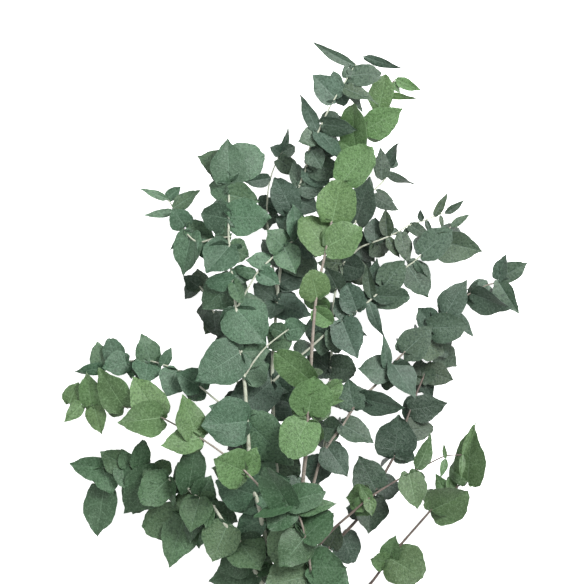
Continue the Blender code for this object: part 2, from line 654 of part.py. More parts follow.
def main():
    for old in list(bpy.data.objects):
        bpy.data.objects.remove(old)
    grown = []
    stems = []
    solids = {}
    starts = {}
    for name, group in SPRAYS.items():
        for stem in group:
            route = smooth_route([to_space(p) for p in stem.route], STEM_STEP)
            if name in starts:
                route[0] = fork_point(grown, name, route[0])
            grown.append((name, stem, route))
            solid = tube(route, stem.thick, TWIG_SIDES if stem.thick[0] < TWIG_BELOW
                         else STEM_SIDES)
            solids.setdefault(name, []).append(solid)
            stems.append((name, Solid(*solid)))
            starts.setdefault(name, (route[0], directions(route)[0], stem.thick[0]))
    wood = wood_solids(starts)
    for solid in wood:
        stems.append(("wood", Solid(*solid)))
    for name, leaf in place_leaves(grown, stems):
        solids[name].append(blade(leaf, BLADE_THICKNESS))
    join("woody_base", wood)
    for name in SPRAYS:
        join(name, solids[name])


main()
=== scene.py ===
"""The looks of a leafy eucalyptus branch that lies on a flat surface, seen from above.

The layout and the rule that places its leaves are those of the solid model, and each spray gets
fine leaves and stems in the same places.
"""

import math
from collections import namedtuple
from functools import lru_cache
from random import Random

import bpy
import numpy as np
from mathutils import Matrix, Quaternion, Vector
from mathutils.bvhtree import BVHTree


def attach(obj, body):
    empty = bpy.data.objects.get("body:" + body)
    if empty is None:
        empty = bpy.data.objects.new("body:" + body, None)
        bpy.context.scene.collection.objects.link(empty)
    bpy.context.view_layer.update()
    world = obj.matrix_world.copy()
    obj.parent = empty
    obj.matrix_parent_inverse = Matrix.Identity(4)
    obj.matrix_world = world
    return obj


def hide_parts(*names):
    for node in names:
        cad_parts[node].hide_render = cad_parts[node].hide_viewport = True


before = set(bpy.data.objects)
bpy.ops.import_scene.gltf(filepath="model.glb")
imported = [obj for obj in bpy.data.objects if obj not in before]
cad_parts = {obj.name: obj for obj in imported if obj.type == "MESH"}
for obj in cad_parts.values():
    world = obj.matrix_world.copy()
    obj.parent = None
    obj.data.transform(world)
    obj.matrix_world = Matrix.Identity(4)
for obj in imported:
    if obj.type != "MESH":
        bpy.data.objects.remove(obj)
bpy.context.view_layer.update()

MM = 0.001
SEED = 4

BLADE_THICKNESS = 0.8
BLADE_CLEARANCE = 0.5
CENTRE_ACROSS = 295.7
CENTRE_DOWN = 350.5
CUP = 0.10
BEND = 0.06
BROAD_LENGTH = 26
BROAD_RATIO = 0.72
NARROW_RATIO = 0.55
MOST_ROLL = 58
USUAL_TILT = 10
SEAT_LIFT = 0.7
ROUND_RATIO = 0.95
MOST_TILT = 60
STEM_STEP = 32
STEM_SIDES = 5
TWIG_SIDES = 4
TWIG_BELOW = 3.1
WOOD_SIDES = 8
JOINT_GAP = 0.3
FORK_SWELL = 1.25
FORK_LIP = 1.12
FORK_COLLAR = 1.2
CORE = 0.88
CORE_CENTRE = 0.62
SMALL_LEAF = 16
STEEPEST = 84

# Half of a blade's outline from its notch to its tip: along the midrib as a share of the length,
# and across it as a share of half the width.
BROAD_HALF = ((0.0, 0.0), (0.06, 0.78), (0.36, 1.06), (0.72, 0.80), (1.02, 0.0))
HEART_HALF = ((0.0, 0.0), (0.14, 0.88), (0.60, 1.06), (1.03, 0.0))
LANCE_HALF = ((0.0, 0.0), (0.20, 0.96), (0.60, 0.94), (1.0, 0.0))
BROAD_FROM = 30

# A stem's route is (across, down, height), its thick is its diameter at the root and the tip, and
# its leaves are (seat across, seat down, tip across, tip down, width) above and below the stem.
# A leaf that rests has its tip on the surface.
Stem = namedtuple("Stem", "route thick over under rests", defaults=((), ()))
Leaf = namedtuple("Leaf", "seat heading tilt roll length width narrow")

SPRAYS = {}
SPRAYS["tall_left_spray"] = [Stem(thick=(5.0, 1.9),
    route=[(278, 565, 52), (266, 540, 60), (259, 508, 72), (254, 490, 80), (250, 460, 87), (247, 420, 90),
        (245, 385, 91), (240, 345, 92), (236, 306, 92), (232, 275, 91), (229, 240, 90), (229, 200, 86),
        (228, 181, 82), (228, 166, 80)],
    over=[(228, 181, 228, 139, 36), (229, 195, 259, 202, 32), (229, 217, 272, 218, 38),
        (228, 246, 206, 273, 38), (232, 280, 206, 283, 18), (234, 281, 242, 304, 15),
        (237, 308, 266, 343, 49), (239, 352, 196, 381, 45), (246, 421, 201, 425, 50),
        (255, 495, 216, 484, 46)],
    under=[(254, 490, 250, 443, 52), (229, 163, 196, 156, 27), (229, 163, 265, 153, 38),
        (229, 191, 209, 186, 25), (229, 219, 203, 208, 36), (229, 248, 250, 257, 26),
        (233, 281, 202, 311, 38), (237, 307, 268, 305, 27), (241, 352, 270, 350, 32),
        (243, 373, 270, 364, 36), (233, 276, 257, 273, 19), (236, 302, 247, 281, 17),
        (263, 520, 235, 533, 29), (258, 502, 238, 515, 20), (229, 241, 210, 228, 20),
        (246, 421, 292, 466, 44), (246, 417, 209, 406, 31), (257, 497, 290, 478, 40),
        (265, 538, 284, 564, 36)],
), Stem(thick=(2.3, 1.3),
    route=[(246, 421, 90), (232, 411, 84), (216, 400, 76), (200, 387, 68), (178, 371, 58), (148, 361, 46),
        (127, 362, 38), (98, 370, 28)],
    over=[(202, 382, 176, 372, 29), (178, 369, 166, 396, 31), (162, 367, 171, 348, 12),
        (150, 363, 142, 334, 26), (147, 362, 145, 384, 30), (127, 361, 101, 368, 25),
        (105, 368, 73, 376, 14)],
    under=[(200, 388, 189, 402, 23), (201, 387, 211, 381, 12), (141, 362, 130, 353, 13),
        (115, 364, 107, 338, 22), (101, 369, 95, 341, 17), (131, 362, 130, 380, 14)],
), Stem(thick=(1.9, 1.2),
    route=[(229, 237, 90), (213, 239, 82), (199, 242, 74), (189, 236, 68), (181, 223, 60), (173, 208, 52),
        (167, 198, 46)],
    over=[(167, 199, 138, 188, 9), (167, 198, 180, 186, 12), (172, 208, 200, 190, 17),
        (174, 211, 143, 215, 9), (183, 228, 172, 208, 24), (186, 230, 214, 237, 21)],
    under=[(188, 237, 182, 275, 25), (186, 236, 167, 252, 8), (202, 241, 209, 262, 15)],
), Stem(thick=(1.9, 1.4),
    route=[(237, 308, 92), (246, 292, 96), (258, 272, 98), (270, 260, 98), (284, 247, 96), (298, 238, 94),
        (303, 233, 93)],
    over=[(258, 272, 280, 284, 19), (270, 263, 246, 260, 18), (284, 248, 268, 231, 27),
        (284, 247, 296, 274, 28), (298, 238, 293, 204, 21)],
    under=[(257, 274, 233, 270, 13)],
), Stem(thick=(1.9, 1.4),
    route=[(246, 374, 91), (255, 360, 96), (268, 345, 97), (286, 331, 95), (293, 326, 93)],
    over=[(287, 331, 308, 326, 24)],
    under=[(284, 332, 268, 327, 18), (286, 331, 266, 349, 30)],
)]
SPRAYS["lime_centre_spray"] = [Stem(thick=(4.7, 1.3),
    route=[(296, 560, 66), (301, 520, 80), (303, 480, 92), (306, 450, 101), (308, 415, 107),
        (310, 380, 110), (312, 345, 112), (316, 298, 114), (321, 272, 114), (326, 249, 113),
        (332, 220, 110), (343, 182, 102), (355, 150, 86), (367, 128, 74), (379, 107, 64), (388, 88, 56),
        (396, 78, 52)],
    over=[(396, 78, 421, 90, 12), (386, 94, 419, 100, 8), (380, 107, 386, 74, 24),
        (364, 127, 403, 108, 30), (355, 150, 350, 104, 27), (343, 181, 372, 147, 36),
        (332, 221, 342, 180, 39), (326, 247, 362, 229, 36), (316, 297, 311, 270, 32),
        (309, 379, 275, 351, 29), (309, 412, 314, 376, 42), (305, 420, 288, 457, 40)],
    under=[(393, 80, 402, 92, 12), (354, 150, 337, 140, 15), (326, 250, 302, 216, 38),
        (316, 295, 314, 311, 28), (314, 310, 333, 324, 20), (309, 405, 345, 401, 12),
        (310, 402, 342, 380, 22), (308, 408, 294, 416, 20), (305, 422, 319, 446, 20)],
)]
SPRAYS["front_spray"] = [Stem(thick=(2.8, 2.0),
    route=[(301, 606, 54), (306, 595, 72), (310, 584, 88), (311, 576, 96), (309, 557, 106),
        (305, 537, 112), (301, 520, 116), (294, 507, 118), (287, 501, 118)],
    over=[(311, 576, 266, 584, 47), (311, 576, 348, 584, 47), (304, 536, 281, 566, 37),
        (304, 536, 331, 510, 37), (288, 501, 324, 490, 28), (285, 508, 263, 466, 27),
        (284, 508, 254, 517, 21), (295, 510, 268, 527, 25)],
    under=[(305, 537, 269, 555, 46), (311, 566, 346, 566, 42), (294, 508, 336, 502, 20)],
)]
SPRAYS["lime_left_spray"] = [Stem(thick=(2.7, 1.2),
    route=[(286, 562, 70), (284, 530, 88), (273, 503, 102), (247, 472, 112), (222, 452, 108),
        (201, 438, 98), (176, 425, 86), (160, 417, 78), (140, 410, 68), (122, 407, 60), (97, 407, 50),
        (80, 407, 44), (68, 404, 40)],
    over=[(246, 469, 216, 458, 41), (247, 471, 257, 446, 22), (201, 435, 161, 445, 27),
        (196, 436, 186, 394, 31), (161, 417, 118, 422, 38), (123, 407, 97, 369, 31),
        (93, 407, 101, 435, 21), (91, 407, 85, 372, 24), (68, 405, 77, 383, 19), (80, 407, 63, 423, 15)],
    under=[(200, 437, 205, 412, 13), (159, 416, 132, 376, 32), (160, 416, 165, 402, 9),
        (99, 407, 109, 399, 12)],
)]
SPRAYS["low_left_spray"] = [Stem(thick=(4.4, 1.6),
    route=[(272, 592, 46), (262, 585, 52), (254, 570, 60), (240, 542, 70), (226, 526, 74), (213, 507, 74),
        (198, 498, 72), (184, 486, 68), (167, 479, 62), (157, 473, 58), (140, 470, 54), (125, 466, 50),
        (103, 469, 44), (93, 470, 41)],
    over=[(103, 471, 68, 465, 22), (101, 470, 112, 496, 27), (124, 466, 99, 452, 26),
        (122, 468, 124, 489, 18), (138, 468, 143, 440, 19), (128, 466, 121, 449, 17),
        (155, 474, 143, 482, 20), (168, 480, 140, 503, 35), (190, 488, 197, 446, 28),
        (183, 489, 179, 462, 12), (199, 499, 190, 533, 33), (213, 507, 206, 529, 12),
        (226, 527, 212, 562, 39), (240, 542, 261, 570, 41)],
    under=[(183, 487, 176, 461, 15), (126, 467, 137, 481, 12), (157, 474, 169, 462, 19),
        (157, 477, 122, 516, 44), (198, 498, 171, 503, 23), (198, 497, 212, 476, 27),
        (213, 507, 243, 526, 27), (246, 556, 218, 575, 36), (256, 574, 270, 584, 26),
        (255, 571, 275, 567, 18), (254, 573, 208, 583, 38), (141, 471, 131, 519, 34),
        (168, 480, 176, 506, 17), (200, 499, 219, 500, 18)],
), Stem(thick=(1.8, 1.6),
    route=[(125, 466, 50), (112, 480, 42), (102, 490, 34)],
    over=[(102, 489, 95, 538, 34)],
), Stem(thick=(2.2, 1.8),
    route=[(213, 507, 74), (198, 516, 60), (184, 519, 50)],
    over=[(181, 519, 167, 567, 38)],
    under=[(183, 519, 140, 529, 38), (198, 517, 197, 551, 24)],
)]
SPRAYS["centre_tall_spray"] = [Stem(thick=(4.8, 1.2),
    route=[(283, 547, 55), (279, 500, 58), (275, 450, 60), (273, 412, 61), (272, 378, 62), (274, 340, 62),
        (277, 300, 62), (281, 265, 62), (288, 230, 62), (294, 203, 64), (299, 186, 68), (306, 168, 76),
        (309, 150, 84), (318, 132, 92), (327, 113, 97), (338, 93, 98), (348, 77, 94), (355, 66, 90),
        (363, 57, 85)],
    over=[(363, 57, 402, 71, 11), (355, 66, 311, 44, 11), (347, 79, 345, 66, 13), (350, 77, 381, 74, 19),
        (340, 90, 333, 72, 12), (334, 98, 312, 75, 28), (342, 87, 379, 103, 17), (322, 124, 356, 131, 20),
        (317, 132, 299, 95, 15), (319, 136, 298, 142, 20), (309, 150, 322, 169, 21),
        (289, 210, 275, 177, 28), (279, 303, 312, 315, 29), (279, 304, 267, 322, 22),
        (272, 381, 231, 416, 41)],
    under=[(306, 187, 294, 161, 17), (340, 90, 343, 108, 20), (346, 82, 362, 113, 13),
        (317, 134, 328, 151, 17), (319, 131, 345, 158, 24), (306, 168, 330, 184, 24),
        (293, 205, 305, 196, 18), (289, 226, 276, 216, 16), (282, 262, 261, 240, 20),
        (278, 302, 254, 283, 25), (279, 283, 305, 270, 28), (273, 378, 291, 410, 29),
        (272, 383, 302, 384, 21), (273, 411, 297, 413, 21), (275, 450, 297, 482, 36),
        (275, 452, 250, 470, 34), (279, 500, 301, 477, 25), (296, 200, 321, 209, 27),
        (288, 232, 317, 256, 27), (272, 372, 290, 356, 22), (279, 505, 254, 525, 27),
        (281, 525, 261, 535, 18), (273, 365, 262, 350, 18), (307, 165, 340, 171, 23),
        (309, 151, 336, 157, 22), (300, 186, 328, 190, 23), (284, 256, 320, 271, 25)],
), Stem(thick=(2.4, 1.2),
    route=[(278, 296, 62), (270, 250, 46), (267, 215, 40), (268, 190, 38), (272, 172, 36), (277, 160, 36),
        (282, 150, 36)],
    over=[(282, 150, 291, 125, 8), (281, 153, 271, 146, 14), (277, 158, 298, 172, 18),
        (273, 178, 243, 181, 15)],
    under=[(281, 152, 297, 143, 18), (268, 197, 260, 213, 17), (267, 214, 264, 231, 13),
        (267, 216, 281, 222, 14), (267, 205, 282, 211, 13)],
), Stem(thick=(2.6, 1.2),
    route=[(273, 382, 62), (290, 365, 64), (310, 348, 66), (328, 332, 68), (342, 322, 70), (362, 307, 70),
        (376, 295, 68), (388, 282, 66), (405, 268, 62), (415, 261, 60), (428, 249, 56), (440, 238, 53),
        (452, 226, 50)],
    over=[(452, 227, 470, 213, 9), (425, 257, 453, 229, 28), (415, 261, 427, 279, 8),
        (390, 291, 405, 260, 28), (372, 299, 366, 263, 13), (369, 301, 381, 338, 13),
        (357, 311, 347, 283, 26), (342, 321, 358, 359, 33)],
    under=[(440, 243, 484, 251, 28), (408, 266, 430, 297, 32), (379, 301, 411, 299, 22),
        (350, 318, 335, 297, 21), (366, 304, 378, 283, 19), (374, 296, 375, 257, 20),
        (343, 322, 368, 338, 12), (327, 333, 303, 328, 30), (325, 335, 321, 356, 25),
        (331, 330, 338, 353, 20), (303, 356, 306, 333, 20)],
)]
SPRAYS["right_spray"] = [Stem(thick=(3.6, 1.4),
    route=[(300, 556, 54), (310, 500, 60), (320, 462, 64), (328, 446, 66), (343, 425, 67), (353, 409, 67),
        (365, 395, 66), (376, 385, 65), (388, 370, 64), (400, 357, 63), (416, 342, 60), (430, 328, 56),
        (445, 315, 52), (458, 303, 48), (470, 294, 44), (486, 286, 40), (498, 282, 37), (505, 276, 35)],
    over=[(505, 277, 529, 263, 20), (501, 280, 508, 254, 15), (499, 281, 518, 314, 21),
        (471, 291, 512, 309, 26), (488, 285, 467, 297, 18), (449, 316, 467, 280, 28),
        (430, 328, 468, 326, 30), (405, 354, 432, 326, 32), (388, 369, 358, 367, 30),
        (393, 364, 416, 399, 26), (387, 370, 384, 333, 12), (364, 400, 403, 412, 25),
        (358, 412, 348, 379, 27), (343, 425, 374, 441, 25), (327, 448, 348, 477, 29)],
    under=[(452, 309, 475, 338, 12), (433, 325, 418, 308, 25), (418, 341, 447, 353, 36),
        (389, 370, 384, 391, 19), (366, 395, 367, 384, 12), (341, 431, 319, 427, 26),
        (322, 458, 311, 488, 28)],
)]
SPRAYS["right_back_spray"] = [Stem(thick=(3.6, 1.6),
    route=[(308, 577, 42), (325, 553, 46), (345, 534, 47), (362, 515, 47), (376, 492, 46), (386, 473, 45),
        (397, 452, 43), (406, 425, 38), (416, 398, 31), (427, 372, 23), (437, 350, 17), (443, 338, 15)],
    over=[(396, 457, 400, 415, 42), (412, 411, 449, 404, 28), (426, 371, 455, 381, 24),
        (376, 491, 359, 457, 35), (371, 499, 369, 535, 34), (330, 549, 341, 523, 21)],
    under=[(398, 450, 416, 462, 22), (405, 433, 436, 427, 24), (416, 398, 407, 425, 18),
        (424, 379, 434, 400, 16), (424, 380, 404, 396, 20), (437, 350, 455, 341, 22),
        (377, 489, 403, 487, 27), (363, 514, 346, 509, 20), (345, 539, 355, 565, 31),
        (423, 384, 421, 358, 27)],
    rests=[(438, 350, 462, 369, 25)],
)]
SPRAYS["brown_right_spray"] = [Stem(thick=(3.0, 1.2),
    route=[(309, 562, 72), (318, 547, 80), (332, 530, 86), (350, 514, 90), (370, 497, 92), (390, 484, 90),
        (408, 474, 86), (430, 463, 80), (446, 456, 76), (463, 455, 72)],
    over=[(369, 498, 372, 516, 13), (368, 498, 360, 484, 13), (408, 473, 417, 509, 28),
        (418, 474, 434, 434, 17), (445, 456, 441, 478, 8), (445, 456, 444, 443, 5),
        (463, 455, 476, 421, 7), (463, 455, 461, 481, 7)],
    under=[(368, 498, 346, 497, 28), (367, 499, 355, 516, 22)],
)]
SPRAYS["low_right_spray"] = [Stem(thick=(3.4, 1.8),
    route=[(318, 628, 18), (338, 615, 25), (356, 601, 32), (373, 583, 38), (388, 562, 43), (402, 545, 47),
        (428, 515, 53), (436, 505, 55), (450, 494, 57), (461, 485, 59), (468, 482, 60)],
    over=[(390, 561, 396, 534, 21), (387, 562, 370, 560, 21), (390, 560, 424, 579, 43),
        (431, 510, 470, 494, 43), (473, 487, 469, 426, 31)],
    under=[(447, 496, 436, 474, 15), (452, 493, 451, 476, 13)],
)]
SPRAYS["back_left_spray"] = [Stem(thick=(3.4, 1.5),
    route=[(275, 556, 40), (262, 500, 38), (250, 445, 36), (240, 395, 32), (228, 350, 26), (214, 315, 20),
        (203, 292, 16), (193, 280, 14)],
    over=[(198, 286, 182, 275, 17), (214, 312, 217, 340, 24), (228, 350, 222, 327, 26)],
    under=[(200, 290, 196, 268, 21), (213, 313, 198, 312, 24), (216, 318, 204, 335, 18),
        (242, 402, 222, 410, 26), (240, 393, 262, 400, 32), (250, 445, 230, 450, 36),
        (251, 448, 270, 440, 36)],
    rests=[(196, 283, 181, 302, 15)],
)]
SPRAYS["back_right_spray"] = [Stem(thick=(4.0, 1.3),
    route=[(299, 566, 38), (315, 500, 34), (326, 440, 31), (330, 390, 30), (332, 350, 30), (333, 315, 32),
        (337, 285, 34), (345, 262, 35), (353, 235, 34), (360, 208, 31), (371, 193, 28), (385, 179, 24),
        (391, 166, 21), (394, 154, 19)],
    over=[(394, 170, 400, 139, 15), (386, 181, 383, 146, 17), (374, 196, 400, 211, 16),
        (359, 221, 370, 176, 30), (343, 264, 364, 270, 27), (336, 288, 326, 267, 25),
        (331, 368, 356, 371, 29)],
    under=[(376, 188, 395, 201, 7), (392, 165, 400, 151, 16), (354, 236, 377, 262, 24),
        (345, 263, 372, 281, 23), (355, 238, 373, 283, 20), (344, 263, 316, 261, 22),
        (338, 285, 352, 292, 22), (333, 317, 329, 299, 20), (330, 372, 306, 352, 30),
        (329, 400, 346, 388, 30), (327, 430, 309, 440, 32)],
    rests=[(389, 173, 420, 189, 10)],
), Stem(thick=(1.8, 1.2),
    route=[(345, 262, 36), (355, 252, 41), (363, 246, 44), (382, 239, 48), (398, 232, 48), (409, 225, 46),
        (425, 220, 42), (440, 214, 38), (446, 213, 36)],
    over=[(435, 217, 448, 192, 9), (446, 213, 466, 200, 8), (441, 214, 444, 229, 5),
        (422, 221, 421, 209, 7), (427, 220, 433, 235, 6), (411, 225, 431, 238, 13),
        (401, 231, 409, 264, 18), (388, 237, 386, 208, 15), (388, 237, 400, 258, 11)],
    under=[(408, 226, 403, 238, 6), (393, 234, 398, 223, 10), (377, 242, 386, 255, 24),
        (375, 242, 376, 216, 22)],
)]

# The wood: its main axis and the forks that run out to each spray, with their thicknesses.
WOOD_AXIS = [(296, 655, 5.63), (294, 634, 14), (292, 612, 28), (290, 595, 40), (286, 572, 50)]
WOOD_THICK = (12.0, 7.5)
FORK_ROOTS = {
    "centre_tall_spray": (287, 578, 48),
    "tall_left_spray": (288, 586, 45),
    "back_left_spray": (289, 590, 42),
    "low_left_spray": (291, 604, 33),
    "lime_centre_spray": (288, 584, 46),
    "lime_left_spray": (288, 582, 47),
    "right_spray": (289, 588, 43),
    "right_back_spray": (291, 606, 32),
    "brown_right_spray": (290, 598, 38),
    "back_right_spray": (290, 600, 36),
    "front_spray": (292, 620, 22),
    "low_right_spray": (294, 641, 11),
}


def smooth_route(points, step):
    """A route through all the points, cut into even pieces of about one step."""
    points = [Vector(point) for point in points]
    first = points[0] * 2 - points[1]
    last = points[-1] * 2 - points[-2]
    held = [first] + points + [last]
    dense = [points[0].copy()]
    for index in range(len(points) - 1):
        a, b, c, d = held[index:index + 4]
        for part in range(1, 13):
            t = part / 12
            dense.append(0.5 * (2 * b + (c - a) * t + (2 * a - 5 * b + 4 * c - d) * t ** 2
                                + (3 * b - a - 3 * c + d) * t ** 3))
    lengths = [0.0]
    for before, after in zip(dense, dense[1:]):
        lengths.append(lengths[-1] + (after - before).length)
    pieces = max(2, round(lengths[-1] / step))
    route = []
    index = 0
    for piece in range(pieces + 1):
        goal = lengths[-1] * piece / pieces
        while index < len(dense) - 2 and lengths[index + 1] < goal:
            index += 1
        share = (goal - lengths[index]) / max(lengths[index + 1] - lengths[index], 1e-9)
        route.append(dense[index].lerp(dense[index + 1], min(max(share, 0.0), 1.0)))
    return route


def directions(route):
    """The way the route runs at each of its points."""
    last = len(route) - 1
    return [(route[min(i + 1, last)] - route[max(i - 1, 0)]).normalized()
            for i in range(last + 1)]


def radius_at(thick, share):
    return (thick[0] + (thick[1] - thick[0]) * share) / 2


def pipe(route, radii, sides):
    """A round stem with flat ends, as points and faces."""
    ways = directions(route)
    side = ways[0].orthogonal().normalized()
    verts = []
    for point, way, radius in zip(route, ways, radii):
        side = (side - way * side.dot(way)).normalized()
        other = way.cross(side)
        for k in range(sides):
            angle = math.tau * k / sides
            verts.append(point + side * (radius * math.cos(angle))
                         + other * (radius * math.sin(angle)))
    faces = []
    for ring in range(len(route) - 1):
        for k in range(sides):
            a = ring * sides + k
            b = ring * sides + (k + 1) % sides
            faces.append((a, b, b + sides, a + sides))
    faces.append(tuple(reversed(range(sides))))
    faces.append(tuple(range(len(verts) - sides, len(verts))))
    return verts, faces


def tube(route, thick, sides):
    """A stem that tapers evenly."""
    last = len(route) - 1
    return pipe(route, [radius_at(thick, index / last) for index in range(last + 1)], sides)


def to_space(point):
    """A place read off the layout, with its height, in millimetres with up as +Z."""
    return (point[0] - CENTRE_ACROSS, CENTRE_DOWN - point[1], point[2])


def leaf_axes(leaf):
    """The ways along a leaf, across it and out of its upper face."""
    heading = Vector((math.cos(leaf.heading), math.sin(leaf.heading), 0))
    ahead = heading * math.cos(leaf.tilt) + Vector((0, 0, math.sin(leaf.tilt)))
    across = Vector((-heading.y, heading.x, 0))
    across.rotate(Quaternion(ahead, leaf.roll))
    return ahead, across, ahead.cross(across)


def blade(leaf, thickness, swell=0.0, keep=None):
    """A leaf as a closed thin solid: notch, lobes, sides and tip, folded along its midrib."""
    ahead, across, normal = leaf_axes(leaf)
    half = LANCE_HALF if leaf.narrow else BROAD_HALF if leaf.width > BROAD_FROM else HEART_HALF
    loop = list(half) + [(a, -b) for a, b in reversed(half[1:-1])]
    if keep:
        loop = [(CORE_CENTRE + (a - CORE_CENTRE) * keep, b * keep) for a, b in loop]
    verts = []
    for level in (0.5, -0.5):
        for a, b in loop:
            far = a * leaf.length + (swell if a > 0.5 else -swell if a < 0 else 0)
            wide = b * leaf.width / 2 + math.copysign(swell if b else 0, b)
            lift = CUP * abs(wide) - BEND * leaf.length * a * a + level * thickness
            verts.append(leaf.seat + ahead * far + across * wide + normal * lift)
    count = len(loop)
    tip = count // 2
    faces = []
    for k in range(count):
        after = (k + 1) % count
        if tip not in (k, after):
            faces.append((tip, after, k))
            faces.append((count + tip, count + k, count + after))
        faces.append((k, after, count + after, count + k))
    return verts, faces


def near(stem_route, place):
    """The point of a stem that lies under a place of the layout, and its share of the way."""
    best = None
    for index, (before, after) in enumerate(zip(stem_route, stem_route[1:])):
        run = after - before
        flat = run.xy.length_squared
        share = (place - before.xy).dot(run.xy) / flat if flat else 0.0
        share = min(max(share, 0.0), 1.0)
        point = before.lerp(after, share)
        gap = (place - point.xy).length
        if best is None or gap < best[0]:
            best = (gap, point, (index + share) / (len(stem_route) - 1))
    return best[1], best[2]


def fork_point(grown, name, root):
    """The root of a side twig, moved onto the nearest stem of its own spray."""
    points = [near(route, root.xy)[0] for key, _, route in grown if key == name]
    return min(points, key=lambda point: (point - root).length)


def leaf_from(stem, route, entry, side):
    """A leaf of the layout, with the tilt and roll that its seen length and width call for."""
    pick = Random("%d of %s" % (SEED, entry))
    seat, share = near(route, Vector(to_space((entry[0], entry[1], 0))[:2]))
    seat = seat + Vector((0, 0, side * SEAT_LIFT * radius_at(stem.thick, share)))
    run = Vector(to_space((entry[2], entry[3], 0))[:2]) - seat.xy
    seen = run.length
    wide = entry[4]
    length = max(seen, ROUND_RATIO * wide)
    tilt = math.acos(min(1.0, seen / length))
    tilt = min(max(tilt, math.radians(USUAL_TILT + pick.uniform(-3, 5))),
               math.radians(MOST_TILT))
    length = max(length, seen / math.cos(tilt))
    narrow = wide < NARROW_RATIO * seen or seen < SMALL_LEAF
    whole = wide if narrow else max(wide, (BROAD_RATIO if length > BROAD_LENGTH
                                           else NARROW_RATIO) * length)
    roll = math.acos(max(wide / whole, math.cos(math.radians(MOST_ROLL))))
    roll = max(roll, math.radians(pick.uniform(2, 12))) * pick.choice((-1, 1))
    return Leaf(seat, math.atan2(run.y, run.x), side * tilt, roll, length, whole, narrow)


class Solid:
    """A closed shape with its box and its search tree."""

    def __init__(self, verts, faces):
        self.low = Vector(min(v[k] for v in verts) for k in range(3))
        self.high = Vector(max(v[k] for v in verts) for k in range(3))
        self.tree = BVHTree.FromPolygons(verts, faces)

    def meets(self, other):
        for k in range(3):
            if self.low[k] > other.high[k] or other.low[k] > self.high[k]:
                return False
        return bool(self.tree.overlap(other.tree))


# Turns tried in order, smallest first: degrees of tilt, degrees of roll, degrees of heading and
# the share of its size that a leaf keeps.
TURNS = sorted(
    ((tilt, roll, swing, size)
     for size in (1.0, 0.86, 0.72)
     for tilt in (0, 7, -7, 14, -14, 22, -22, 32, -32, 44, -44)
     for roll in (0, 12, -12, 25, -25)
     for swing in (0, 7, -7)),
    key=lambda turn: (abs(turn[0]) * 1.0 + abs(turn[1]) * 0.5 + abs(turn[2]) * 1.6
                      + (1 - turn[3]) * 110))


def turned(leaf, turn):
    tilt, roll, swing, size = turn
    return leaf._replace(
        tilt=leaf.tilt + math.radians(tilt), roll=leaf.roll + math.radians(roll),
        heading=leaf.heading + math.radians(swing), length=leaf.length * size,
        width=leaf.width * size)


def settle(leaf, name, placed, stems):
    """The first turn of a leaf that keeps it off the surface and clear of all the others."""
    spare = None
    for turn in TURNS:
        tried = turned(leaf, turn)
        if abs(tried.tilt) > math.radians(STEEPEST):
            continue
        wide = Solid(*blade(tried, BLADE_THICKNESS + 2 * BLADE_CLEARANCE, BLADE_CLEARANCE))
        if wide.low.z < BLADE_CLEARANCE:
            continue
        if any(wide.meets(other) for key, other, _ in placed if key != name):
            continue
        if any(wide.meets(other) for key, other in stems if key != name):
            continue
        core = Solid(*blade(tried, BLADE_THICKNESS + BLADE_CLEARANCE, 0.0, CORE))
        if not any(core.meets(other) for key, _, other in placed if key == name) \
                and not any(core.meets(other) for key, other in stems if key == name):
            return tried
        if spare is None:
            spare = tried
    return spare


def keep_leaf(leaf, name, placed, chosen):
    """Notes a settled leaf, with the space that it and its core take up."""
    chosen.append((name, leaf))
    placed.append((name, Solid(*blade(leaf, BLADE_THICKNESS)),
                   Solid(*blade(leaf, BLADE_THICKNESS, 0.0, CORE))))


def resting(leaf):
    """The leaf with its tip brought down until its lowest corner is on the surface."""
    low, high = math.radians(-85), math.radians(20)
    for _ in range(40):
        middle = (low + high) / 2
        tried = leaf._replace(tilt=middle)
        if min(v.z for v in blade(tried, BLADE_THICKNESS)[0]) < 0:
            low = middle
        else:
            high = middle
    return leaf._replace(tilt=high)


def place_leaves(grown, stems):
    """All the leaves of the branch in the order in which they make room for each other."""
    placed = []
    chosen = []
    for name, stem, route in grown:
        for entry in stem.rests:
            leaf = leaf_from(stem, route, entry, -1)
            keep_leaf(resting(leaf._replace(roll=0.0)), name, placed, chosen)
    for side in (1, -1):
        for name, stem, route in grown:
            for entry in (stem.over if side > 0 else stem.under):
                leaf = leaf_from(stem, route, entry, side)
                leaf = settle(leaf, name, placed, stems)
                if leaf:
                    keep_leaf(leaf, name, placed, chosen)
    return chosen


def forks(starts, step):
    """Each fork's run from the axis to just short of its spray, its thickness, end and way."""
    for name, root in FORK_ROOTS.items():
        end, way, thick = starts[name]
        end = end - way * JOINT_GAP
        root = Vector(to_space(root))
        middle = end - way * ((end - root).length * 0.4)
        fork = smooth_route([root, root.lerp(middle, 0.55), middle, end], step)
        yield fork, (thick * FORK_SWELL + FORK_COLLAR, thick * FORK_LIP), end, way


def wood_solids(starts):
    """The woody axis and its forks as plain solids."""
    axis = smooth_route([to_space(p) for p in WOOD_AXIS], STEM_STEP / 2)
    solids = [tube(axis, WOOD_THICK, WOOD_SIDES)]
    for fork, thick, end, way in forks(starts, STEM_STEP / 2):
        fork[-1] = end
        fork[-2] = end - way * (end - fork[-2]).length
        solids.append(tube(fork, thick, STEM_SIDES + 1))
    return solids


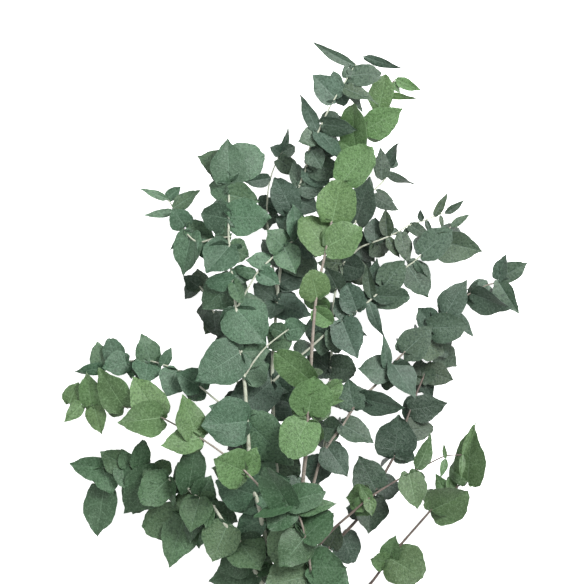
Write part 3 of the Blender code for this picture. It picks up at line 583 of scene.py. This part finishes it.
# Half of a fine leaf's outline, as above but smooth: pointed, round and narrow kinds.
POINTED = ((0.0, 0.0), (-0.075, 0.14), (-0.095, 0.36), (-0.04, 0.64), (0.09, 0.88), (0.26, 1.01),
           (0.43, 0.97), (0.60, 0.76), (0.77, 0.44), (0.90, 0.16), (1.01, 0.0))
ROUNDED = ((0.0, 0.0), (-0.07, 0.14), (-0.085, 0.38), (-0.02, 0.67), (0.13, 0.91), (0.32, 1.03),
           (0.52, 1.02), (0.70, 0.88), (0.85, 0.63), (0.95, 0.33), (0.99, 0.0))
NARROWED = ((0.0, 0.0), (0.01, 0.16), (0.05, 0.42), (0.16, 0.78), (0.30, 0.97), (0.45, 0.98),
            (0.62, 0.80), (0.78, 0.50), (0.90, 0.22), (1.0, 0.0))
FINE_ROWS = 30
SMALL_ROWS = 18
FINE_COLUMNS = (0.0, 0.045, 0.12, 0.28, 0.5, 0.72, 0.9, 1.0)
FINE_THICKNESS = 0.5
TWIST = 1.3
FOLDED = 0.14
SHARP_CUP = (2.6, 4.0)
SOFT_CUP = (0.2, 1.8)
BENDS = (-0.3, 2.4)
WAVES = (0.02, 0.055)
NARROW_LEAD = 1.35
BROAD_LEAD = 2.1
LEAST_HEIGHT = 0.02
LEAST_THICKNESS = 0.1
FINE_STEP = 2.5
FINE_SIDES = 10
ROOT_SUNK = 2.5
JOINT_REACH = 6
JOINT_SPREAD = 1.6
JOINT_SWELL = 0.09
FINE_WOOD_STEP = 3.0
FINE_AXIS_SIDES = 20
FINE_FORK_SIDES = 12
SKIN_VOXEL = 0.75
SKIN_PASSES = 4
CUT_DEPTH = 0.0006
ATTRIBUTES = ("vein", "rim", "along", "across", "tint", "hue", "under", "shade")


def added(name, data):
    made = bpy.data.objects.new(name, data)
    bpy.context.scene.collection.objects.link(made)
    return made


class Mesh:
    """A mesh that grows leaf by leaf and stem by stem, with what its materials read."""

    def __init__(self):
        self.points = []
        self.faces = []
        self.kinds = []
        self.sharp = []
        self.values = {name: [] for name in ATTRIBUTES}
        self.count = 0

    def add(self, points, faces, kind, sharp=(), **values):
        self.points.append(points)
        self.faces += [tuple(index + self.count for index in face) for face in faces]
        self.kinds += [kind] * len(faces)
        self.sharp += [(a + self.count, b + self.count) for a, b in sharp]
        for name in ATTRIBUTES:
            value = values.get(name, 0.0)
            self.values[name].append(np.full(len(points), value) if np.isscalar(value) else value)
        self.count += len(points)

    def build(self, name, materials):
        mesh = bpy.data.meshes.new(name)
        mesh.from_pydata(np.concatenate(self.points) * MM, [], self.faces)
        for key, lists in self.values.items():
            made = mesh.attributes.new(key, "FLOAT", "POINT")
            made.data.foreach_set("value", np.concatenate(lists).astype(np.float32))
        mesh.polygons.foreach_set("material_index", self.kinds)
        mesh.polygons.foreach_set("use_smooth", [True] * len(self.faces))
        hard = {frozenset(pair) for pair in self.sharp}
        mesh.edges.foreach_set("use_edge_sharp",
                               [frozenset(edge.vertices) in hard for edge in mesh.edges])
        for material in materials:
            mesh.materials.append(material)
        mesh.update()
        return added(name, mesh)


@lru_cache
def outline_of(points, rows):
    """Even samples of a smooth half outline, from the notch to the tip."""
    curve = smooth_route([(a, b, 0.0) for a, b in points], 0.02)
    lengths = np.cumsum([0.0] + [(q - p).length for p, q in zip(curve, curve[1:])])
    goals = np.linspace(0, lengths[-1], rows + 1)
    return np.column_stack([np.interp(goals, lengths, [p[k] for p in curve]) for k in (0, 1)])


def fine_leaf(mesh, leaf, pick, shade, round_share):
    """A waved leaf with a raised midrib, in the place of a plain blade."""
    rows = FINE_ROWS if leaf.width > SMALL_LEAF else SMALL_ROWS
    if leaf.narrow:
        half = outline_of(NARROWED, rows)
        lead = NARROW_LEAD
    else:
        blend = pick.uniform(0.7, 1.0) if pick.random() < round_share else pick.uniform(0.0, 0.35)
        half = outline_of(POINTED, rows) * (1 - blend) + outline_of(ROUNDED, rows) * blend
        lead = BROAD_LEAD
    steps = np.linspace(0, 1, rows + 1)
    across = np.array([-s for s in reversed(FINE_COLUMNS[1:])] + list(FINE_COLUMNS))
    t = steps[1:-1, None]
    s = across[None, :]
    reach = np.abs(s)
    spine = t ** lead
    a = spine + (half[1:-1, :1] - spine) * reach
    b = half[1:-1, 1:] * s
    ripple = 1 + reach ** 4 * (0.014 * np.sin(math.tau * (9 * t + pick.random()) + s)
                               + 0.032 * np.sin(math.tau * (3.3 * t + pick.random()) + 2 * s))
    a = 0.5 + (a - 0.5) * ripple
    b = b * ripple * (1 + np.sign(s) * pick.uniform(-0.08, 0.08))
    a = np.concatenate([[0.0], a.ravel(), [1.0]])
    b = np.concatenate([[0.0], b.ravel(), [0.0]])
    wide = b * leaf.width / 2
    sway = pick.uniform(-1, 1) * (0.09 if leaf.narrow else 0.04) * leaf.length
    flat = np.concatenate([[0.0], np.repeat(steps[1:-1], len(across)), [1.0]])
    edge = np.concatenate([[0.0], np.tile(across, rows - 1), [0.0]])
    cup = CUP * pick.uniform(*(SHARP_CUP if pick.random() < FOLDED else SOFT_CUP))
    bend = BEND * pick.uniform(*BENDS)
    wave = (pick.uniform(*WAVES) * leaf.width
            * np.sin(math.tau * (pick.uniform(0.9, 2.2) * flat + pick.random())
                     + np.sign(edge) * pick.uniform(0, 3)) * np.abs(edge) ** 2)
    wave += 0.15 * np.abs(edge) ** 3 * np.sin(math.tau * (8 * flat + pick.random()))
    lift = cup * np.abs(wide) - bend * leaf.length * a * a + wave
    lift += (BEND - bend) * leaf.length * 0.2
    curl = pick.choice((-1, 1)) * pick.uniform(0, 0.16) * leaf.width
    lift += curl * np.clip(np.abs(edge) - 0.45, 0, 1) ** 2 * (np.sign(edge) == pick.choice((-1, 1)))
    turn = pick.uniform(-1, 1) * (TWIST if leaf.narrow else 0.22) * a
    wide, lift = wide * np.cos(turn) - lift * np.sin(turn), wide * np.sin(turn) + lift * np.cos(turn)
    beside = np.abs(b) * leaf.width / 2
    rib = np.exp(-(beside / (0.35 + 0.5 * (1 - np.clip(a, 0, 1)))) ** 2) * (1.05 - np.clip(a, 0, 1))
    half_thick = FINE_THICKNESS / 2 * (1 - 0.35 * np.abs(edge) ** 6)
    ahead, side, normal = leaf_axes(leaf)
    place = (np.array(leaf.seat)[None] + np.outer(a * leaf.length, ahead)
             + np.outer(wide + sway * a * (1 - a), side))
    top = place + np.outer(lift + half_thick - 0.12 * rib, normal)
    low = place + np.outer(lift - half_thick - 0.42 * rib, normal)
    low[:, 2] = np.maximum(low[:, 2], LEAST_HEIGHT)
    top[:, 2] = np.maximum(top[:, 2], low[:, 2] + LEAST_THICKNESS)
    count = len(a)
    last = count - 1
    wide_row = len(across)

    def at(row, column):
        return 1 + row * wide_row + column

    faces = []
    for column in range(wide_row - 1):
        faces.append((0, at(0, column), at(0, column + 1)))
        faces.append((last, at(rows - 2, column + 1), at(rows - 2, column)))
        for row in range(rows - 2):
            faces.append((at(row, column), at(row + 1, column), at(row + 1, column + 1),
                          at(row, column + 1)))
    faces += [tuple(index + count for index in reversed(face)) for face in faces]
    right = [at(row, 0) for row in range(rows - 1)]
    left = [at(row, wide_row - 1) for row in range(rows - 1)]
    loop = [0] + right + [last] + left[::-1]
    sharp = []
    for before, after in zip(loop, loop[1:] + loop[:1]):
        faces.append((before, before + count, after + count, after))
        sharp += [(before, after), (before + count, after + count)]
    under = np.concatenate([np.zeros(count), np.ones(count)])
    # The hidden lower leaves are flagged here so that their material paints them darker as painted shade.
    mesh.add(np.concatenate([top, low]), faces, 0, sharp, vein=np.tile(flat, 2),
             rim=np.tile(np.abs(edge), 2), along=np.tile(a, 2), across=np.tile(beside, 2),
             tint=pick.random(), hue=pick.random() ** 2, under=under, shade=shade)


def fine_stem(mesh, points, thick, seats, pick):
    """A smooth stem that swells a little where leaves join it."""
    points = [Vector(to_space(point)) for point in points]
    first = (points[1] - points[0]).normalized()
    route = smooth_route([points[0] - first * ROOT_SUNK] + points, FINE_STEP)
    last = len(route) - 1
    phase = pick.random() * math.tau
    radii = []
    for index, point in enumerate(route):
        radius = radius_at(thick, index / last)
        for seat in seats:
            gap = (seat - point).length
            if gap < JOINT_REACH:
                radius += JOINT_SWELL * radius * math.exp(-(gap / JOINT_SPREAD) ** 2)
        radius *= 1 + 0.05 * math.sin(index * 0.9 + phase) * math.sin(index * 0.37)
        radii.append(radius * (0.55 if index == last else 1))
    rings, faces = pipe(route, radii, FINE_SIDES)
    shares = np.repeat(np.linspace(0, 1, len(route)), FINE_SIDES)
    mesh.add(np.array(rings), faces, 1, along=shares, tint=pick.random(), hue=pick.random())


class Nodes:
    """A short way to write down a material's nodes."""

    def __init__(self, name, roughness, **settings):
        self.material = bpy.data.materials.new(name)
        self.material.use_nodes = True
        self.tree = self.material.node_tree
        self.shader = self.tree.nodes["Principled BSDF"]
        self.shader.inputs["Roughness"].default_value = roughness
        for key, value in settings.items():
            self.shader.inputs[key.replace("_", " ")].default_value = value
        self.place = self.new("ShaderNodeTexCoord").outputs["Object"]

    def new(self, kind, inputs=(), **settings):
        node = self.tree.nodes.new(kind)
        for key, value in settings.items():
            setattr(node, key, value)
        for key, value in dict(inputs).items():
            self.put(node.inputs[key], value)
        return node

    def put(self, socket, value):
        if isinstance(value, bpy.types.NodeSocket):
            self.tree.links.new(value, socket)
        else:
            socket.default_value = value

    def value(self, name):
        return self.new("ShaderNodeAttribute", attribute_name=name).outputs["Fac"]

    def math(self, operation, first, second):
        return self.new("ShaderNodeMath", {0: first, 1: second}, operation=operation).outputs[0]

    def times(self, first, second):
        return self.math("MULTIPLY", first, second)

    def ramp(self, value, low, high, start=0.0, end=1.0):
        inputs = {"Value": value, "From Min": low, "From Max": high, "To Min": start, "To Max": end}
        node = self.new("ShaderNodeMapRange", inputs, interpolation_type="SMOOTHSTEP")
        return node.outputs["Result"]

    def mix(self, share, first, second):
        inputs = {0: share, 6: first, 7: second}
        return self.new("ShaderNodeMix", inputs, data_type="RGBA").outputs[2]

    def noise(self, scale, detail=2.0, rough=0.5, distortion=0.0):
        inputs = {"Vector": self.place, "Scale": scale, "Detail": detail, "Roughness": rough,
                  "Distortion": distortion}
        return self.new("ShaderNodeTexNoise", inputs).outputs["Fac"]

    def cells(self, scale, feature="DISTANCE_TO_EDGE"):
        inputs = {"Vector": self.place, "Scale": scale}
        return self.new("ShaderNodeTexVoronoi", inputs, feature=feature).outputs["Distance"]

    def bump(self, height, strength, distance):
        inputs = {"Strength": strength, "Distance": distance, "Height": height}
        node = self.new("ShaderNodeBump", inputs)
        self.put(self.shader.inputs["Normal"], node.outputs["Normal"])

    def finish(self, colour):
        self.put(self.shader.inputs["Base Color"], colour)
        return self.material


def leaf_material(name, base):
    """A waxy leaf: mottled green, bloom, fine net, side veins, pale midrib; painted shade on hidden
    leaves.
    """
    # The darkest green, used only as painted shade on the hidden lower leaves.
    painted_shade_green = [0.30 * part for part in base] + [1]
    deep = [0.60 * part for part in base] + [1]
    light = [1.26 * part for part in base] + [1]
    bloom = [0.95 * part + 0.022 for part in base] + [1]
    pale = [1.30 * part + 0.060 for part in base] + [1]
    n = Nodes(name, 0.48, IOR=1.4)
    vein, rim, along = n.value("vein"), n.value("rim"), n.value("along")
    share = n.math("ADD", n.times(n.value("tint"), 0.8),
                   n.ramp(n.noise(45.0, 3.0, 0.55), 0.35, 0.7, -0.10, 0.25))
    colour = n.mix(share, deep, light)
    colour = n.mix(n.ramp(n.noise(20.0, 2.0, 0.5), 0.45, 0.75, 0.0, 0.35), colour, bloom)
    colour = n.mix(n.times(n.value("hue"), 0.30), colour, (0.105, 0.140, 0.045, 1))
    # Painted shade: the hidden lower leaves are painted far darker, for the shade they hang in.
    colour = n.mix(n.times(n.value("shade"), 0.78), colour, painted_shade_green)
    grain = n.noise(460.0, 3.0, 0.7)
    net = n.ramp(n.cells(520.0), 0.0, 0.22, 1.0, 0.0)
    colour = n.mix(n.times(net, 0.20), colour, pale)
    colour = n.mix(n.ramp(grain, 0.36, 0.50, 0.95, 0.0), colour, deep)
    colour = n.mix(n.ramp(grain, 0.52, 0.66, 0.0, 0.50), colour, pale)
    wobble = n.times(n.noise(70.0, 2.0), 0.35)
    saw = n.math("PINGPONG", n.math("ADD", n.times(vein, 8.0), wobble), 0.5)
    lines = n.ramp(saw, 0.42, 0.5, 0.0, 1.0)
    lines = n.times(lines, n.ramp(rim, 0.35, 0.95, 1.0, 0.0))
    lines = n.times(lines, n.ramp(along, 0.0, 0.12, 0.2, 1.0))
    colour = n.mix(n.times(lines, 0.24), colour, pale)
    width = n.ramp(along, 0.0, 1.0, 0.62, 0.2)
    middle = n.ramp(n.math("DIVIDE", n.value("across"), width), 0.3, 1.15, 1.0, 0.0)
    middle = n.times(middle, n.ramp(along, 0.35, 1.0, 0.62, 0.15))
    colour = n.mix(middle, colour, pale)
    colour = n.mix(n.ramp(rim, 0.96, 1.0, 0.0, 0.16), colour, pale)
    spots = n.ramp(n.cells(130.0, "F1"), 0.05, 0.10, 1.0, 0.0)
    spots = n.times(spots, n.ramp(n.noise(18.0, 1.0), 0.58, 0.70, 0.0, 0.55))
    colour = n.mix(spots, colour, (0.06, 0.04, 0.02, 1))
    colour = n.mix(n.times(n.value("under"), 0.5), colour, bloom)
    height = n.math("ADD", n.times(lines, -0.4), n.times(grain, 0.9))
    height = n.math("ADD", height, n.times(net, -0.25))
    n.bump(height, 0.6, 0.0007)
    return n.finish(colour)


def stem_material(name, pale, dark, streak):
    """A smooth young stem with a bloom, darker streaks and small pores."""
    n = Nodes(name, 0.55)
    colour = n.mix(n.ramp(n.noise(60.0, 3.0, 0.6), 0.35, 0.7, 0.0, 0.7), pale, dark)
    colour = n.mix(n.ramp(n.noise(260.0, 3.0, 0.6), 0.50, 0.72, 0.0, 0.6), colour, streak)
    colour = n.mix(n.ramp(n.value("along"), 0.5, 1.0, 0.0, 0.35), colour, dark)
    pores = n.ramp(n.cells(380.0, "F1"), 0.12, 0.24, 1.0, 0.0)
    colour = n.mix(n.times(pores, 0.35), colour, streak)
    n.bump(n.noise(500.0, 3.0, 0.6), 0.35, 0.0004)
    return n.finish(colour)


def bark_material():
    n = Nodes("bark", 0.8)
    cloud = n.noise(70.0, 4.0, 0.6)
    colour = n.mix(n.ramp(cloud, 0.3, 0.7), (0.16, 0.105, 0.07, 1), (0.33, 0.25, 0.19, 1))
    fine = n.noise(420.0, 4.0, 0.7, 0.6)
    colour = n.mix(n.ramp(fine, 0.38, 0.55, 0.55, 0.0), colour, (0.06, 0.038, 0.026, 1))
    pale = n.ramp(n.noise(130.0, 3.0), 0.58, 0.72, 0.0, 0.45)
    colour = n.mix(pale, colour, (0.44, 0.42, 0.34, 1))
    n.bump(n.math("ADD", fine, n.times(cloud, 0.6)), 0.7, 0.0012)
    return n.finish(colour)


def cut_material():
    """The pale cut end of the wood, with faint rings."""
    n = Nodes("cut_wood", 0.75)
    colour = n.mix(n.ramp(n.noise(900.0, 3.0), 0.35, 0.65), (0.52, 0.40, 0.24, 1),
                   (0.63, 0.53, 0.36, 1))
    rings = n.ramp(n.math("PINGPONG", n.times(n.value("across"), 1.1), 0.5),
                   0.3, 0.5, 0.0, 0.4)
    colour = n.mix(rings, colour, (0.36, 0.25, 0.14, 1))
    colour = n.mix(n.ramp(n.value("across"), 5.1, 5.6), colour, (0.15, 0.10, 0.07, 1))
    n.bump(n.noise(700.0, 3.0), 0.3, 0.0004)
    return n.finish(colour)


def floor_material():
    n = Nodes("floor", 0.85, Emission_Color=(1, 1, 1, 1), Emission_Strength=0.8)
    colour = n.mix(n.noise(3.0, 2.0), (0.93, 0.93, 0.92, 1), (0.95, 0.95, 0.94, 1))
    return n.finish(colour)


def remeshed(name, solids):
    """One even skin over all the solids, worn smooth where they join."""
    mesh = bpy.data.meshes.new(name)
    points = []
    faces = []
    for verts, sides in solids:
        faces += [tuple(index + len(points) for index in side) for side in sides]
        points += [tuple(v * MM) for v in verts]
    mesh.from_pydata(points, [], faces)
    mesh.update()
    body = added(name, mesh)
    skin = body.modifiers.new("skin", "REMESH")
    skin.mode = "VOXEL"
    skin.voxel_size = SKIN_VOXEL * MM
    worn = body.modifiers.new("worn", "SMOOTH")
    worn.iterations = SKIN_PASSES
    worn.factor = 0.5
    shown = body.evaluated_get(bpy.context.evaluated_depsgraph_get())
    done = bpy.data.meshes.new_from_object(shown)
    body.modifiers.clear()
    body.data = done
    bpy.data.meshes.remove(mesh)
    done.polygons.foreach_set("use_smooth", [True] * len(done.polygons))
    return body


def fine_wood(starts):
    """The woody fork in one skin with bark, and its pale cut end."""
    axis = smooth_route([to_space(p) for p in WOOD_AXIS], FINE_WOOD_STEP)
    ways = directions(axis)
    solids = [tube(axis, WOOD_THICK, FINE_AXIS_SIDES)]
    solids += [tube(fork, thick, FINE_FORK_SIDES)
               for fork, thick, _, _ in forks(starts, FINE_WOOD_STEP)]
    wood = remeshed("woody_fork", solids)
    mesh = wood.data
    points = np.empty(len(mesh.vertices) * 3)
    mesh.vertices.foreach_get("co", points)
    points = points.reshape(-1, 3) - np.array(axis[0] * MM)
    way = np.array(ways[0])
    depth = points @ way
    beside = points - np.outer(depth, way)
    far = np.linalg.norm(beside, axis=1) / MM
    made = mesh.attributes.new("across", "FLOAT", "POINT")
    made.data.foreach_set("value", far.astype(np.float32))
    mesh.materials.append(bark_material())
    mesh.materials.append(cut_material())
    near_end = depth < CUT_DEPTH
    for polygon in mesh.polygons:
        on_end = all(near_end[index] for index in polygon.vertices)
        if on_end and abs(polygon.normal.dot(ways[0])) > 0.6:
            polygon.material_index = 1
    return wood


# A leaf's middle green on each slot. The green of leaf_dark is painted shade: it darkens the lowest
# sprays for the shade under the others.
LEAF_LOOKS = {
    "leaf_sage": (0.046, 0.103, 0.057),
    "leaf_lime": (0.073, 0.150, 0.051),
    "leaf_green": (0.044, 0.104, 0.047),
    "leaf_olive": (0.058, 0.120, 0.044),
    "leaf_grey": (0.041, 0.079, 0.053),
    # Painted shade: this green is darkened for the shade the three lowest sprays lie in.
    "leaf_dark": (0.026, 0.052, 0.033),
}
# A stem's colours: pale, dark and streaked.
STEM_LOOKS = {
    "stem_pale": ((0.46, 0.48, 0.39, 1), (0.28, 0.31, 0.23, 1), (0.15, 0.14, 0.09, 1)),
    "stem_taupe": ((0.25, 0.22, 0.185, 1), (0.13, 0.105, 0.085, 1), (0.06, 0.045, 0.036, 1)),
    "stem_brown": ((0.13, 0.10, 0.082, 1), (0.062, 0.042, 0.035, 1), (0.03, 0.018, 0.015, 1)),
}
# Each spray's slot, its stem and the share of its leaves that are round and not pointed.
SPRAY_LOOKS = {
    "tall_left_spray": ("leaf_sage", "stem_pale", 0.1),
    "lime_centre_spray": ("leaf_lime", "stem_taupe", 0.85),
    "front_spray": ("leaf_green", "stem_taupe", 0.6),
    "lime_left_spray": ("leaf_lime", "stem_taupe", 0.1),
    "low_left_spray": ("leaf_green", "stem_pale", 0.2),
    "centre_tall_spray": ("leaf_grey", "stem_pale", 0.4),
    "right_spray": ("leaf_grey", "stem_taupe", 0.1),
    # The three lowest sprays wear leaf_dark, a green darkened as painted shade.
    "right_back_spray": ("leaf_dark", "stem_brown", 0.15),
    "brown_right_spray": ("leaf_olive", "stem_brown", 0.1),
    "low_right_spray": ("leaf_olive", "stem_brown", 0.6),
    "back_left_spray": ("leaf_dark", "stem_pale", 0.1),
    "back_right_spray": ("leaf_dark", "stem_pale", 0.4),
}
PARTNER_FROM = 19
PARTNER_SHARE = 0.84
PARTNER_TILT = -40
PARTNER_SWING = 30
PARTNER_ROLL = 15
VIEW_SIDE = 584
LENS = 400
SENSOR = 36
MIDDLE_HEIGHT = 80
SKY = 0.62
# Each lamp's place, size and power.
LAMPS = {"key": ((1.0, 0.9, 1.8), 0.8, 74.0), "fill": ((-1.2, 0.4, 1.6), 1.2, 8.0)}


def camera_and_light():
    """The photograph's view from above, a pale sky, two lamps and a pale floor."""
    scene = bpy.context.scene
    scene.view_settings.view_transform = "Standard"
    lens = bpy.data.cameras.new("camera")
    lens.lens = LENS
    lens.sensor_width = SENSOR
    lens.clip_end = 50
    camera = added("camera", lens)
    camera.location = ((VIEW_SIDE / 2 - CENTRE_ACROSS) * MM, (CENTRE_DOWN - VIEW_SIDE / 2) * MM,
                       (MIDDLE_HEIGHT + VIEW_SIDE * LENS / SENSOR) * MM)
    scene.camera = camera
    world = bpy.data.worlds.new("world")
    scene.world = world
    world.use_nodes = True
    sky = world.node_tree.nodes["Background"]
    sky.inputs["Color"].default_value = (1, 1, 1, 1)
    sky.inputs["Strength"].default_value = SKY
    for name, (place, size, energy) in LAMPS.items():
        lamp = bpy.data.lights.new(name, "AREA")
        lamp.size = size
        lamp.energy = energy
        light = added(name, lamp)
        light.location = place
        light.rotation_euler = (-Vector(place)).to_track_quat("-Z", "Y").to_euler()
    bpy.ops.mesh.primitive_plane_add(size=8)
    floor = bpy.context.object
    floor.name = "floor"
    floor.data.materials.append(floor_material())


def grow():
    """All the stems, as routes and as solids with the wood, and where each spray starts."""
    grown = []
    stems = []
    starts = {}
    for name, group in SPRAYS.items():
        for stem in group:
            route = smooth_route([to_space(p) for p in stem.route], STEM_STEP)
            if name in starts:
                route[0] = fork_point(grown, name, route[0])
            grown.append((name, stem, route))
            stems.append((name, Solid(*tube(route, stem.thick, TWIG_SIDES
                                            if stem.thick[0] < TWIG_BELOW else STEM_SIDES))))
            starts.setdefault(name, (route[0], directions(route)[0], stem.thick[0]))
    for solid in wood_solids(starts):
        stems.append(("wood", Solid(*solid)))
    return grown, stems, starts


def hidden_partners(leaves, stems):
    """The lower leaf of each pair, where it hangs clear of all that is there already."""
    pick = Random(SEED + 1)
    placed = []
    chosen = []
    for name, leaf in leaves:
        keep_leaf(leaf, name, placed, [])
    for name, leaf in leaves:
        if leaf.width < PARTNER_FROM or leaf.seat.z < leaf.length:
            continue
        partner = leaf._replace(
            tilt=math.radians(PARTNER_TILT), width=leaf.width * PARTNER_SHARE,
            length=leaf.length * PARTNER_SHARE,
            roll=math.radians(pick.uniform(-PARTNER_ROLL, PARTNER_ROLL)),
            heading=leaf.heading + math.radians(pick.uniform(-1, 1) * PARTNER_SWING))
        partner = settle(partner, name, placed, stems)
        if partner:
            keep_leaf(partner, name, placed, chosen)
    return chosen


def main():
    camera_and_light()
    grown, stems, starts = grow()
    leaves = place_leaves(grown, stems)
    hidden = hidden_partners(leaves, stems)
    looks = {name: leaf_material(name, base) for name, base in LEAF_LOOKS.items()}
    wood_looks = {name: stem_material(name, *colours) for name, colours in STEM_LOOKS.items()}
    for name, (slot, stem_look, round_share) in SPRAY_LOOKS.items():
        mesh = Mesh()
        pick = Random(name)
        own = [leaf for key, leaf in leaves if key == name]
        lower = [leaf for key, leaf in hidden if key == name]
        seats = [leaf.seat for leaf in own]
        for key, stem, _ in grown:
            if key == name:
                fine_stem(mesh, stem.route, stem.thick, seats, pick)
        # The hidden lower leaves get painted shade: their material paints them much darker.
        for shade, group in ((0.0, own), (1.0, lower)):
            for leaf in group:
                fine_leaf(mesh, leaf, pick, shade, round_share)
        piece = mesh.build("leafy_" + name, [looks[slot], wood_looks[stem_look]])
        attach(piece, "root")
        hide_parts(name)
    wood = fine_wood(starts)
    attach(wood, "root")
    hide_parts("woody_base")


main()
